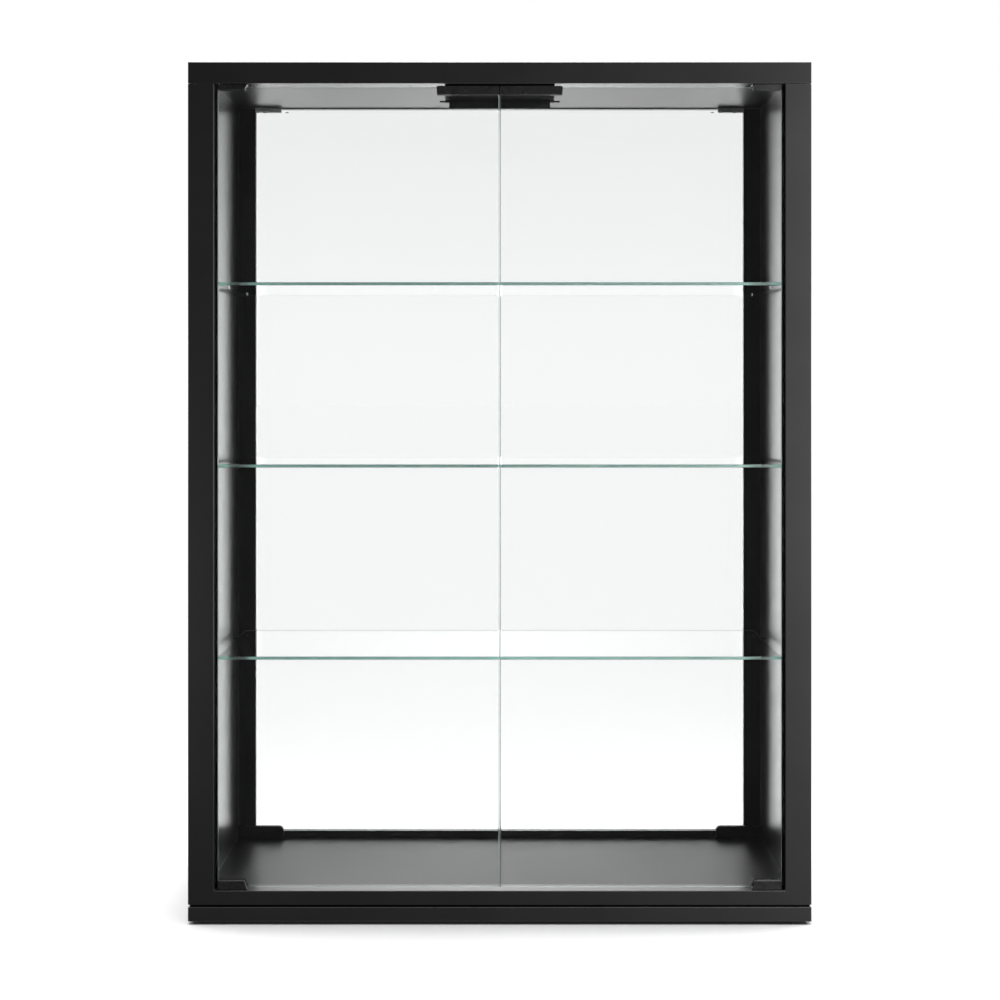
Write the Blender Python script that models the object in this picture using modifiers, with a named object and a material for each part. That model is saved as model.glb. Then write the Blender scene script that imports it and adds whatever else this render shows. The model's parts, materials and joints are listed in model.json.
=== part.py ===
"""Glass-door display case for models: a black lacquered case with three glass
shelves, two pivoted glass doors and a twin touch latch under its top.

Metres, +Z up. The origin is on the ground under the middle of the case, and the
doors face -Y.
"""

import math

import bmesh
import bpy
from mathutils import Vector

OBJECT = "display_case"

# Overall size, and the running gap that every two neighbouring pieces keep.
WIDTH = 0.600
DEPTH = 0.220
HEIGHT = 0.830
GAP = 0.0003

# How far a cutter reaches past the face it cuts, and past the end of a slot.
CUT_MARGIN = 0.002
SLOT_MARGIN = 0.01

# Levels of the case, from the ground up.
FOOT_HEIGHT = 0.0027
BASE_TOP = 0.0167
CARCASS_BOTTOM = 0.019
FLOOR_Z = 0.032
CEILING_Z = 0.8187

# Boards.
SIDE_THICKNESS = 0.018
FACE_DEPTH = 0.024
STILE_WIDTH = 0.025
TOP_RAIL_HEIGHT = 0.0205
BOTTOM_RAIL_TOP = 0.0325
SPACER_INSET = 0.0015
BOARD_EASE = 0.0003

# Feet.
FOOT_RADIUS = 0.00675
FOOT_TAPER = 0.0009
FOOT_TAPER_TOP = 0.0016
FOOT_X = 0.288
FOOT_Y = 0.098

# Back frame and back glass.
BACK_FRAME_FRONT = 0.096
BACK_FRAME_REAR = 0.1037
BACK_STILE_INNER_X = 0.263
BACK_BOTTOM_RAIL_TOP = 0.039
BACK_TOP_RAIL_BOTTOM = 0.8176
BACK_GLASS_REAR = 0.108
BACK_GASKET_WIDTH = 0.0034

# Blocks and plates that hold the back frame's corners.
BLOCK_INNER_X = 0.2328
BLOCK_TOP = 0.0449
BLOCK_DEPTH = 0.006
BLOCK_CORNER = 0.005
PLATE_INNER_X = 0.2352
PLATE_BOTTOM = 0.8133

# Shelves and their supports.
GLASS_EASE = 0.0004
SHELF_GLASS = 0.003
SHELF_HALF = 0.2737
SHELF_FRONT = -0.094
SHELF_BACK = 0.094
SHELF_UNDERSIDES = {"lower": 0.2527, "middle": 0.4392, "upper": 0.6161}
PIN_RADIUS = 0.0015
PIN_HOLE_RADIUS = 0.0018
PIN_HOLE_END = 0.2915
PIN_END = 0.291
PIN_PEG_ROOT = 0.0007
PIN_TAB_INNER_X = 0.2675
PIN_TAB_HALF_WIDTH = 0.0035
PIN_TAB_THICKNESS = 0.0012
PIN_ROWS = {"front": -0.062, "rear": 0.062}

# Doors.
DOOR_GLASS = 0.004
DOOR_GLASS_FRONT = -0.106
DOOR_BOTTOM = 0.035
DOOR_TOP = 0.8064
DOOR_MEETING_X = 0.00025
DOOR_MEETING_CHAMFER = 0.001
DOOR_GLASS_EASE = 0.0003
DOOR_OUTER_X = 0.272
PIVOT_X = 0.265
PIVOT_Y = DOOR_GLASS_FRONT + DOOR_GLASS / 2

# Pivot clamps and their bushes.
CLAMP_OUTER_X = 0.2714
CLAMP_RAIL_X = 0.243
CLAMP_GLASS_X = 0.2455
CLAMP_HALF_DEPTH = 0.0048
CLAMP_SLOT_HALF = 0.0033
CLAMP_RAIL_CLEARANCE = 0.0005
BOTTOM_CLAMP_HEIGHT = 0.009
TOP_CLAMP_HEIGHT = 0.0054
BOTTOM_CLAMP_WEB = 0.0014
TOP_CLAMP_WEB = 0.0011
METAL_EASE = 0.0004
PIVOT_RADIUS = 0.0025
PIVOT_LENGTH = 0.0115
BUSH_RADIUS = 0.0038
BUSH_BORE = 0.00285
BUSH_LENGTH = 0.0109
BUSH_SEAT_RADIUS = 0.0041
BUSH_SEAT_DEPTH = 0.0115

# Matt strips on the inner faces of the front stiles.
STRIP_THICKNESS = 0.0005
STRIP_MARGIN = 0.001

# Steel strikes over the doors' top meeting corners.
STRIKE_INNER_X = 0.0004
STRIKE_OUTER_X = 0.0609
STRIKE_TAPER = 0.0006
STRIKE_BOTTOM = 0.7991
STRIKE_TOP = 0.8075
STRIKE_WALL = 0.0015
STRIKE_CORNER = 0.0015

# Twin touch latch under the ceiling.
LATCH_HALF = 0.0534
LATCH_MOUNT_HALF = 0.052
LATCH_MOUNT_REAR = -0.063
LATCH_FRONT = -0.097
LATCH_REAR = -0.062
LATCH_BOTTOM = 0.7996
LATCH_NOTCH_X = (0.0498, 0.0518)
LATCH_NOTCH_TOP = 0.8005
COVER_FRONT = -0.078
COVER_UNDERSIDE = 0.7962
COVER_TIP_HALF = 0.0588
COVER_TIP_THICKNESS = 0.001
COVER_TIP_DEPTH = 0.006
COVER_SHOULDER_HALF = 0.0534
COVER_HALF = 0.0497
COVER_LIP_PROUD = 0.0003
COVER_LIP_DEPTH = 0.004
COVER_LIP_BOTTOM = 0.7904
PLASTIC_EASE = 0.0004
COVER_WALL_HALF = 0.045
COVER_WALL = 0.002
COVER_WALL_TOP = 0.815
PLUNGER_X = 0.014
PLUNGER_Z = 0.8044
PLUNGER_TIP = -0.0999
PLUNGER_SHOULDER = -0.090
PLUNGER_COLLAR_END = -0.078
PLUNGER_SPIGOT_END = -0.072
PLUNGER_NOSE_RADIUS = 0.0028
PLUNGER_COLLAR_RADIUS = 0.0035
PLUNGER_SPIGOT_RADIUS = 0.0016
PLUNGER_CHAMFER = 0.0005
SPRING_RADIUS = 0.0026
SPRING_WIRE_RADIUS = 0.00035
SPRING_TURNS = 6
SPRING_POINTS_PER_TURN = 10

ROUND_SEGMENTS = 24
SMALL_SEGMENTS = 16

# Planes worked out from the dimensions above.
HALF = WIDTH / 2
FRONT = -DEPTH / 2
BACK = DEPTH / 2
FACE_BACK = FRONT + FACE_DEPTH
INNER_X = HALF - SIDE_THICKNESS
OPENING_X = HALF - STILE_WIDTH
TOP_RAIL_BOTTOM = HEIGHT - TOP_RAIL_HEIGHT
BASE_BOTTOM = FOOT_HEIGHT + GAP
SIDES = {"left": -1, "right": 1}

# Finish: colour, roughness, metallic.
LACQUER = ((0.018, 0.018, 0.019), 0.28, 0.0)
MATT_BLACK = ((0.008, 0.008, 0.008), 0.9, 0.0)
CLEAR_GLASS = ((0.82, 0.93, 0.89), 0.02, 0.0)
CLEAR_PLASTIC = ((0.85, 0.87, 0.87), 0.15, 0.0)
BLACK_PLASTIC = ((0.015, 0.015, 0.016), 0.45, 0.0)
BLACK_METAL = ((0.014, 0.014, 0.015), 0.35, 0.6)
ZINC = ((0.42, 0.42, 0.43), 0.55, 0.2)
RUBBER = ((0.012, 0.012, 0.012), 0.8, 0.0)
NYLON = ((0.55, 0.55, 0.52), 0.5, 0.0)
SPRING_STEEL = ((0.6, 0.6, 0.58), 0.3, 1.0)

for old in list(bpy.data.objects):
    bpy.data.objects.remove(old, do_unlink=True)

parts = bpy.data.collections.new(OBJECT)
cutters = bpy.data.collections.new(OBJECT + "_cutters")
bpy.context.scene.collection.children.link(parts)
bpy.context.scene.collection.children.link(cutters)


# ---------------------------------------------------------------- helpers
def material_for(name, finish):
    """The Principled material of one piece."""
    colour, roughness, metallic = finish
    material = bpy.data.materials.new(name + "_finish")
    material.use_nodes = True
    shader = material.node_tree.nodes["Principled BSDF"]
    shader.inputs["Base Color"].default_value = (*colour, 1.0)
    shader.inputs["Roughness"].default_value = roughness
    shader.inputs["Metallic"].default_value = metallic
    material.diffuse_color = (*colour, 1.0)
    return material


def piece(name, data, finish, centre, parent=None):
    """Puts mesh or curve data into the case as a named piece."""
    obj = bpy.data.objects.new(name, data)
    data.materials.append(material_for(name, finish))
    parts.objects.link(obj)
    obj.parent = parent
    obj.location = Vector(centre) - (parent.location if parent else Vector())
    return obj


def cutter(name, data, centre):
    """Puts mesh data among the hidden shapes that cut or extend pieces."""
    obj = bpy.data.objects.new(name, data)
    cutters.objects.link(obj)
    obj.location = centre
    obj.hide_render = True
    obj.display_type = "WIRE"
    return obj


def pivot(name, place):
    """An empty on a joint's axis, for the pieces that move together."""
    obj = bpy.data.objects.new(name, None)
    parts.objects.link(obj)
    obj.location = place
    obj.empty_display_size = 0.02
    return obj


def spread(x, side):
    """A pair of distances from the middle as a low-to-high range on one side."""
    return tuple(sorted((side * x[0], side * x[1])))


def middle(x, y, z):
    return ((x[0] + x[1]) / 2, (y[0] + y[1]) / 2, (z[0] + z[1]) / 2)


def box_mesh(name, x, y, z, shape=None):
    """A box of the ranges' size about its own centre; shape may edit it first."""
    bm = bmesh.new()
    bmesh.ops.create_cube(bm, size=1.0)
    size = (x[1] - x[0], y[1] - y[0], z[1] - z[0])
    bmesh.ops.scale(bm, vec=size, verts=bm.verts)
    if shape:
        shape(bm)
    mesh = bpy.data.meshes.new(name)
    bm.to_mesh(mesh)
    bm.free()
    return mesh


def round_edges(bm, edges, radius):
    """Rounds some edges of a mesh."""
    bmesh.ops.bevel(bm, geom=edges, offset=radius, segments=4, profile=0.5, affect="EDGES")


def rod_mesh(name, radius, length, axis, segments=ROUND_SEGMENTS):
    """A cylinder about its own centre, along the axis X, Y or Z."""
    bm = bmesh.new()
    bmesh.ops.create_cone(
        bm, cap_ends=True, segments=segments, radius1=radius, radius2=radius, depth=length
    )
    turn = Vector(axis).to_track_quat("Z", "Y").to_matrix()
    bmesh.ops.rotate(bm, matrix=turn, verts=bm.verts)
    mesh = bpy.data.meshes.new(name)
    bm.to_mesh(mesh)
    bm.free()
    return mesh


def ease(obj, width, segments=1):
    """Breaks the sharp edges of a piece."""
    bevel = obj.modifiers.new("ease", "BEVEL")
    bevel.width = width
    bevel.segments = segments
    bevel.limit_method = "ANGLE"
    return obj


def boolean(obj, other, operation):
    modifier = obj.modifiers.new(other.name, "BOOLEAN")
    modifier.operation = operation
    modifier.object = other
    modifier.solver = "EXACT"


def cut_box(obj, label, x, y, z):
    name = f"{obj.name}_{label}"
    boolean(obj, cutter(name, box_mesh(name, x, y, z), middle(x, y, z)), "DIFFERENCE")


def add_box(obj, label, x, y, z):
    name = f"{obj.name}_{label}"
    boolean(obj, cutter(name, box_mesh(name, x, y, z), middle(x, y, z)), "UNION")


def rod_between(obj, label, radius, start, end, operation, segments=ROUND_SEGMENTS):
    """Cuts or adds a cylinder that runs from start to end."""
    start, end = Vector(start), Vector(end)
    name = f"{obj.name}_{label}"
    mesh = rod_mesh(name, radius, (end - start).length, end - start, segments)
    boolean(obj, cutter(name, mesh, (start + end) / 2), operation)


def block(name, x, y, z, finish, parent=None, width=BOARD_EASE, segments=1, shape=None):
    """A rectangular piece between the given ranges, with eased edges."""
    obj = piece(name, box_mesh(name, x, y, z, shape), finish, middle(x, y, z), parent)
    return ease(obj, width, segments) if width else obj


def turned(name, profile, finish, centre, parent=None, closed=False):
    """A turned piece: radius and height pairs, down the outer side, about +Z."""
    bm = bmesh.new()
    points = [bm.verts.new((radius, 0.0, height)) for radius, height in profile]
    for a, b in zip(points, points[1:]):
        bm.edges.new((a, b))
    if closed:
        bm.edges.new((points[-1], points[0]))
    mesh = bpy.data.meshes.new(name)
    bm.to_mesh(mesh)
    bm.free()
    obj = piece(name, mesh, finish, centre, parent)
    screw = obj.modifiers.new("turn", "SCREW")
    screw.steps = ROUND_SEGMENTS
    screw.render_steps = ROUND_SEGMENTS
    screw.use_merge_vertices = True
    screw.merge_threshold = 0.00001
    screw.use_smooth_shade = False
    return obj


# ---------------------------------------------------------------- feet and base
def feet():
    """Four tapered stick-on rubber pads."""
    profile = [
        (0.0, FOOT_HEIGHT),
        (FOOT_RADIUS, FOOT_HEIGHT),
        (FOOT_RADIUS, FOOT_TAPER_TOP),
        (FOOT_RADIUS - FOOT_TAPER, 0.0),
        (0.0, 0.0),
    ]
    for row, y in (("front", -FOOT_Y), ("rear", FOOT_Y)):
        for side, sign in SIDES.items():
            turned(f"foot_{row}_{side}", profile, RUBBER, (sign * FOOT_X, y, 0.0))


def base():
    """The base board, and the narrower board that leaves a shadow line above it."""
    block("base_plate", (-HALF, HALF), (FRONT, BACK), (BASE_BOTTOM, BASE_TOP), LACQUER)
    block(
        "plinth_spacer",
        (-HALF + SPACER_INSET, HALF - SPACER_INSET),
        (FRONT + SPACER_INSET, BACK - SPACER_INSET),
        (BASE_TOP + GAP, CARCASS_BOTTOM - GAP),
        MATT_BLACK,
        width=0,
    )


# ---------------------------------------------------------------- carcass
def carcass():
    """Bottom, top and side panels behind the front face frame."""
    y = (FACE_BACK + GAP, BACK)
    inner = INNER_X - GAP
    block("bottom_panel", (-inner, inner), y, (CARCASS_BOTTOM, FLOOR_Z), LACQUER)
    block("top_panel", (-HALF, HALF), y, (CEILING_Z, HEIGHT), LACQUER)
    for side, sign in SIDES.items():
        panel = block(
            f"{side}_side_panel",
            spread((INNER_X, HALF), sign),
            y,
            (CARCASS_BOTTOM, CEILING_Z - GAP),
            LACQUER,
        )
        for level, underside in SHELF_UNDERSIDES.items():
            for row, pin_y in PIN_ROWS.items():
                z = pin_axis_z(underside)
                rod_between(
                    panel,
                    f"{level}_{row}_hole",
                    PIN_HOLE_RADIUS,
                    (sign * (INNER_X - CUT_MARGIN), pin_y, z),
                    (sign * PIN_HOLE_END, pin_y, z),
                    "DIFFERENCE",
                    SMALL_SEGMENTS,
                )


def front_frame(y):
    """Both stiles and the bottom rail, joined without a visible seam."""
    stile_top = TOP_RAIL_BOTTOM - GAP
    outline = [
        (-HALF, CARCASS_BOTTOM),
        (HALF, CARCASS_BOTTOM),
        (HALF, stile_top),
        (OPENING_X, stile_top),
        (OPENING_X, BOTTOM_RAIL_TOP),
        (-OPENING_X, BOTTOM_RAIL_TOP),
        (-OPENING_X, stile_top),
        (-HALF, stile_top),
    ]
    bm = bmesh.new()
    face = bm.faces.new([bm.verts.new((x, y[0], z)) for x, z in outline])
    extruded = bmesh.ops.extrude_face_region(bm, geom=[face])
    moved = [item for item in extruded["geom"] if isinstance(item, bmesh.types.BMVert)]
    bmesh.ops.translate(bm, vec=(0.0, y[1] - y[0], 0.0), verts=moved)
    bmesh.ops.recalc_face_normals(bm, faces=bm.faces)
    mesh = bpy.data.meshes.new("front_frame")
    bm.to_mesh(mesh)
    bm.free()
    return ease(piece("front_frame", mesh, LACQUER, (0.0, 0.0, 0.0)), BOARD_EASE)


def face_frame():
    """The top rail, and the U of stiles and bottom rail; both hold pivot bush seats."""
    y = (FRONT, FACE_BACK)
    top = block("top_front_rail", (-HALF, HALF), y, (TOP_RAIL_BOTTOM, HEIGHT), LACQUER)
    frame = front_frame(y)
    for side, sign in SIDES.items():
        block(
            f"{side}_stop_strip",
            spread((OPENING_X - GAP - STRIP_THICKNESS, OPENING_X - GAP), sign),
            (FRONT + STRIP_MARGIN, FACE_BACK),
            (BOTTOM_RAIL_TOP + BOARD_EASE + GAP, TOP_RAIL_BOTTOM - GAP),
            MATT_BLACK,
            width=0,
        )
        x = sign * PIVOT_X
        for rail, mouth, inward in ((frame, BOTTOM_RAIL_TOP, -1), (top, TOP_RAIL_BOTTOM, 1)):
            rod_between(
                rail,
                f"{side}_bush_seat",
                BUSH_SEAT_RADIUS,
                (x, PIVOT_Y, mouth - inward * CUT_MARGIN),
                (x, PIVOT_Y, mouth + inward * BUSH_SEAT_DEPTH),
                "DIFFERENCE",
            )


def back_frame():
    """The slim frame in front of the back glass, the glass, and the U-shaped gasket behind."""
    y = (BACK_FRAME_FRONT, BACK_FRAME_REAR)
    low, high = FLOOR_Z + GAP, CEILING_Z - GAP
    outer = INNER_X - GAP
    for side, sign in SIDES.items():
        x = spread((BACK_STILE_INNER_X, outer), sign)
        block(f"{side}_back_stile", x, y, (low, high), LACQUER)
    inner = BACK_STILE_INNER_X - GAP
    block("back_bottom_rail", (-inner, inner), y, (low, BACK_BOTTOM_RAIL_TOP), LACQUER)
    block("back_top_rail", (-inner, inner), y, (BACK_TOP_RAIL_BOTTOM, high), LACQUER)
    block(
        "back_glass",
        (-outer, outer),
        (BACK_FRAME_REAR + GAP, BACK_GLASS_REAR),
        (low, high),
        CLEAR_GLASS,
        width=GLASS_EASE,
    )
    gasket = block(
        "back_gasket", (-outer, outer), (BACK_GLASS_REAR + GAP, BACK), (low, high), RUBBER, width=0
    )
    opening_x = outer - BACK_GASKET_WIDTH
    cut_box(
        gasket,
        "opening",
        (-opening_x, opening_x),
        (BACK_GLASS_REAR - CUT_MARGIN, BACK + CUT_MARGIN),
        (low + BACK_GASKET_WIDTH, high + CUT_MARGIN),
    )


def corner_holders():
    """Blocks on the floor and plates under the top that hold the back frame."""
    y = (BACK_FRAME_FRONT - GAP - BLOCK_DEPTH, BACK_FRAME_FRONT - GAP)
    outer = INNER_X - GAP

    def round_inner_corner(sign):
        def shape(bm):
            corner = [
                edge
                for edge in bm.edges
                if all(v.co.x * sign < 0 and v.co.z > 0 for v in edge.verts)
            ]
            round_edges(bm, corner, BLOCK_CORNER)

        return shape

    for side, sign in SIDES.items():
        block(
            f"{side}_corner_block",
            spread((BLOCK_INNER_X, outer), sign),
            y,
            (FLOOR_Z + GAP, BLOCK_TOP),
            BLACK_PLASTIC,
            shape=round_inner_corner(sign),
            width=0,
        )
        block(
            f"{side}_top_plate",
            spread((PLATE_INNER_X, BACK_STILE_INNER_X), sign),
            y,
            (PLATE_BOTTOM, CEILING_Z - GAP),
            ZINC,
            width=METAL_EASE,
        )


# ---------------------------------------------------------------- shelves
def pin_axis_z(underside):
    """The height of a support's peg under a shelf."""
    return underside - GAP - PIN_TAB_THICKNESS / 2


def shelves():
    """Three lift-out glass shelves, each on four clear supports."""
    for level, underside in SHELF_UNDERSIDES.items():
        block(
            f"{level}_shelf",
            (-SHELF_HALF, SHELF_HALF),
            (SHELF_FRONT, SHELF_BACK),
            (underside, underside + SHELF_GLASS),
            CLEAR_GLASS,
            width=GLASS_EASE,
        )
        top = underside - GAP
        for row, y in PIN_ROWS.items():
            for side, sign in SIDES.items():
                tab = block(
                    f"{level}_pin_{row}_{side}",
                    spread((PIN_TAB_INNER_X, INNER_X - GAP), sign),
                    (y - PIN_TAB_HALF_WIDTH, y + PIN_TAB_HALF_WIDTH),
                    (top - PIN_TAB_THICKNESS, top),
                    CLEAR_PLASTIC,
                    width=0,
                )
                z = pin_axis_z(underside)
                rod_between(
                    tab,
                    "peg",
                    PIN_RADIUS,
                    (sign * (INNER_X - GAP - PIN_PEG_ROOT), y, z),
                    (sign * PIN_END, y, z),
                    "UNION",
                    SMALL_SEGMENTS,
                )


# ---------------------------------------------------------------- doors
def clamp(name, sign, level, parent):
    """A channel that grips a door's corner, with its pivot pin in one piece."""
    if level == "bottom":
        rail_face, into_door, height = BOTTOM_RAIL_TOP, 1, BOTTOM_CLAMP_HEIGHT
        web = BOTTOM_CLAMP_WEB
    else:
        rail_face, into_door, height = TOP_RAIL_BOTTOM, -1, TOP_CLAMP_HEIGHT
        web = TOP_CLAMP_WEB
    back = rail_face + into_door * CLAMP_RAIL_CLEARANCE
    mouth = back + into_door * height

    def slant_inner_end(bm):
        for vert in bm.verts:
            if vert.co.x * sign < 0 and vert.co.z * into_door > 0:
                vert.co.x += sign * (CLAMP_GLASS_X - CLAMP_RAIL_X)

    obj = block(
        name,
        spread((CLAMP_RAIL_X, CLAMP_OUTER_X), sign),
        (PIVOT_Y - CLAMP_HALF_DEPTH, PIVOT_Y + CLAMP_HALF_DEPTH),
        spread((back * into_door, mouth * into_door), into_door),
        BLACK_METAL,
        parent,
        width=METAL_EASE,
        shape=slant_inner_end,
    )
    cut_box(
        obj,
        "slot",
        spread((CLAMP_RAIL_X - SLOT_MARGIN, CLAMP_OUTER_X + SLOT_MARGIN), sign),
        (PIVOT_Y - CLAMP_SLOT_HALF, PIVOT_Y + CLAMP_SLOT_HALF),
        tuple(sorted((back + into_door * web, mouth + into_door * SLOT_MARGIN))),
    )
    rod_between(
        obj,
        "pin",
        PIVOT_RADIUS,
        (sign * PIVOT_X, PIVOT_Y, back + into_door * web / 2),
        (sign * PIVOT_X, PIVOT_Y, back - into_door * PIVOT_LENGTH),
        "UNION",
    )


def bush(name, sign, level):
    """The nylon sleeve that a pivot pin turns in."""
    if level == "bottom":
        centre_z = BOTTOM_RAIL_TOP - GAP - BUSH_LENGTH / 2
    else:
        centre_z = TOP_RAIL_BOTTOM + GAP + BUSH_LENGTH / 2
    half = BUSH_LENGTH / 2
    ring = [(BUSH_RADIUS, half), (BUSH_RADIUS, -half), (BUSH_BORE, -half), (BUSH_BORE, half)]
    turned(name, ring, NYLON, (sign * PIVOT_X, PIVOT_Y, centre_z), closed=True)


def strike(name, sign, parent):
    """A steel clip over a door's top meeting corner, for the latch's magnet."""
    half_depth = DOOR_GLASS / 2 + GAP + STRIKE_WALL

    def shape(bm):
        for vert in bm.verts:
            if vert.co.x * sign > 0 and vert.co.z < 0:
                vert.co.x -= sign * STRIKE_TAPER
        corner = [
            edge for edge in bm.edges if all(v.co.x * sign > 0 and v.co.z > 0 for v in edge.verts)
        ]
        round_edges(bm, corner, STRIKE_CORNER)

    obj = block(
        name,
        spread((STRIKE_INNER_X, STRIKE_OUTER_X), sign),
        (PIVOT_Y - half_depth, PIVOT_Y + half_depth),
        (STRIKE_BOTTOM, STRIKE_TOP),
        BLACK_METAL,
        parent,
        width=0,
        shape=shape,
    )
    slot = DOOR_GLASS / 2 + GAP
    cut_box(
        obj,
        "slot",
        spread((STRIKE_INNER_X - SLOT_MARGIN, STRIKE_OUTER_X + SLOT_MARGIN), sign),
        (PIVOT_Y - slot, PIVOT_Y + slot),
        (STRIKE_BOTTOM - SLOT_MARGIN, DOOR_TOP + GAP),
    )


def doors():
    """Two frameless glass doors, each turning on pins at its outer corners."""

    def chamfer_meeting_edges(sign):
        def shape(bm):
            edges = [
                edge
                for edge in bm.edges
                if all(v.co.x * sign < 0 for v in edge.verts)
                and edge.verts[0].co.z * edge.verts[1].co.z < 0
            ]
            bmesh.ops.bevel(
                bm, geom=edges, offset=DOOR_MEETING_CHAMFER, segments=1, affect="EDGES"
            )

        return shape

    for side, sign in SIDES.items():
        axis = pivot(f"{side}_door_axis", (sign * PIVOT_X, PIVOT_Y, 0.0))
        block(
            f"{side}_door_glass",
            spread((DOOR_MEETING_X, DOOR_OUTER_X), sign),
            (DOOR_GLASS_FRONT, DOOR_GLASS_FRONT + DOOR_GLASS),
            (DOOR_BOTTOM, DOOR_TOP),
            CLEAR_GLASS,
            axis,
            width=DOOR_GLASS_EASE,
            shape=chamfer_meeting_edges(sign),
        )
        for level in ("bottom", "top"):
            clamp(f"{side}_{level}_clamp", sign, level, axis)
            bush(f"{side}_{level}_bush", sign, level)
        strike(f"{side}_strike", sign, axis)


# ---------------------------------------------------------------- touch latch
def latch():
    """The latch's housing and cover; the housing is bored for two plungers."""
    housing = block(
        "latch_housing",
        (-LATCH_HALF, LATCH_HALF),
        (LATCH_FRONT, LATCH_REAR),
        (LATCH_BOTTOM, TOP_RAIL_BOTTOM - GAP),
        BLACK_PLASTIC,
        width=PLASTIC_EASE,
    )
    add_box(
        housing,
        "mounting_block",
        (-LATCH_MOUNT_HALF, LATCH_MOUNT_HALF),
        (FACE_BACK + GAP, LATCH_MOUNT_REAR),
        (TOP_RAIL_BOTTOM - CUT_MARGIN, CEILING_Z - GAP),
    )
    shoulder = PLUNGER_SHOULDER - GAP
    for side, sign in SIDES.items():
        x = sign * PLUNGER_X
        rod_between(
            housing,
            f"{side}_bore",
            PLUNGER_COLLAR_RADIUS + GAP,
            (x, shoulder, PLUNGER_Z),
            (x, LATCH_REAR + CUT_MARGIN, PLUNGER_Z),
            "DIFFERENCE",
        )
        rod_between(
            housing,
            f"{side}_mouth",
            PLUNGER_NOSE_RADIUS + GAP,
            (x, LATCH_FRONT - CUT_MARGIN, PLUNGER_Z),
            (x, shoulder + CUT_MARGIN, PLUNGER_Z),
            "DIFFERENCE",
        )
        cut_box(
            housing,
            f"{side}_notch",
            spread(LATCH_NOTCH_X, sign),
            (LATCH_FRONT - CUT_MARGIN, LATCH_REAR + CUT_MARGIN),
            (LATCH_BOTTOM - CUT_MARGIN, LATCH_NOTCH_TOP),
        )
    wall_y = (LATCH_REAR + GAP, LATCH_REAR + GAP + COVER_WALL)
    cover_top = LATCH_BOTTOM - GAP
    cover = block(
        "latch_cover",
        (-COVER_HALF, COVER_HALF),
        (COVER_FRONT, wall_y[1]),
        (COVER_UNDERSIDE, cover_top),
        BLACK_PLASTIC,
        width=PLASTIC_EASE,
    )
    shoulder_y = (COVER_FRONT + PLASTIC_EASE, COVER_FRONT + COVER_TIP_DEPTH)
    shoulder_z = (COVER_UNDERSIDE + PLASTIC_EASE, cover_top - PLASTIC_EASE)
    add_box(cover, "shoulders", (-COVER_SHOULDER_HALF, COVER_SHOULDER_HALF), shoulder_y, shoulder_z)
    add_box(
        cover,
        "tips",
        (-COVER_TIP_HALF, COVER_TIP_HALF),
        (shoulder_y[0] + COVER_LIP_PROUD, shoulder_y[1] - COVER_LIP_PROUD),
        (shoulder_z[0] + COVER_LIP_PROUD, shoulder_z[0] + COVER_LIP_PROUD + COVER_TIP_THICKNESS),
    )
    lip_half = COVER_HALF - COVER_LIP_PROUD
    add_box(
        cover,
        "lip",
        (-lip_half, lip_half),
        (COVER_FRONT - COVER_LIP_PROUD, COVER_FRONT + COVER_LIP_DEPTH),
        (COVER_LIP_BOTTOM, cover_top - COVER_LIP_PROUD),
    )
    add_box(
        cover,
        "wall",
        (-COVER_WALL_HALF, COVER_WALL_HALF),
        (wall_y[0], wall_y[1] - COVER_LIP_PROUD),
        (COVER_UNDERSIDE + COVER_LIP_PROUD, COVER_WALL_TOP),
    )


def plunger(side, sign):
    """A magnetic plunger: nose, collar and spring spigot, sliding along +Y."""
    x = sign * PLUNGER_X
    axis = pivot(f"{side}_plunger_axis", (x, PLUNGER_TIP, PLUNGER_Z))
    lengths = [y - PLUNGER_TIP for y in (PLUNGER_SPIGOT_END, PLUNGER_COLLAR_END, PLUNGER_SHOULDER)]
    spigot_end, collar_end, shoulder = lengths
    profile = [
        (0.0, spigot_end),
        (PLUNGER_SPIGOT_RADIUS, spigot_end),
        (PLUNGER_SPIGOT_RADIUS, collar_end),
        (PLUNGER_COLLAR_RADIUS, collar_end),
        (PLUNGER_COLLAR_RADIUS, shoulder),
        (PLUNGER_NOSE_RADIUS, shoulder),
        (PLUNGER_NOSE_RADIUS, PLUNGER_CHAMFER),
        (PLUNGER_NOSE_RADIUS - PLUNGER_CHAMFER, 0.0),
        (0.0, 0.0),
    ]
    obj = turned(f"{side}_plunger", profile, BLACK_PLASTIC, (x, PLUNGER_TIP, PLUNGER_Z), axis)
    obj.rotation_euler = (math.radians(-90), 0.0, 0.0)


def spring(side, sign):
    """The coil spring between a plunger's collar and the cover's rear wall."""
    start = PLUNGER_COLLAR_END + GAP + SPRING_WIRE_RADIUS
    end = LATCH_REAR - SPRING_WIRE_RADIUS
    steps = SPRING_TURNS * SPRING_POINTS_PER_TURN
    curve = bpy.data.curves.new(f"{side}_spring", "CURVE")
    curve.dimensions = "3D"
    curve.bevel_depth = SPRING_WIRE_RADIUS
    curve.bevel_resolution = 2
    curve.use_fill_caps = True
    line = curve.splines.new("POLY")
    line.points.add(steps)
    for step, point in enumerate(line.points):
        angle = 2 * math.pi * step / SPRING_POINTS_PER_TURN
        y = (end - start) * step / steps
        point.co = (SPRING_RADIUS * math.cos(angle), y, SPRING_RADIUS * math.sin(angle), 1.0)
    piece(f"{side}_spring", curve, SPRING_STEEL, (sign * PLUNGER_X, start, PLUNGER_Z))


feet()
base()
carcass()
face_frame()
back_frame()
corner_holders()
shelves()
doors()
latch()
for side_name, side_sign in SIDES.items():
    plunger(side_name, side_sign)
    spring(side_name, side_sign)
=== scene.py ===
"""The looks of the display case: finishes for every CAD node, the small fittings that
the solids leave out, and a white studio with the camera in front of the doors.

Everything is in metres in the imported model's own frame: +Z up, doors facing -Y.
"""

import json
import math

import bmesh
import bpy
from mathutils import Matrix, Vector

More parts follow.
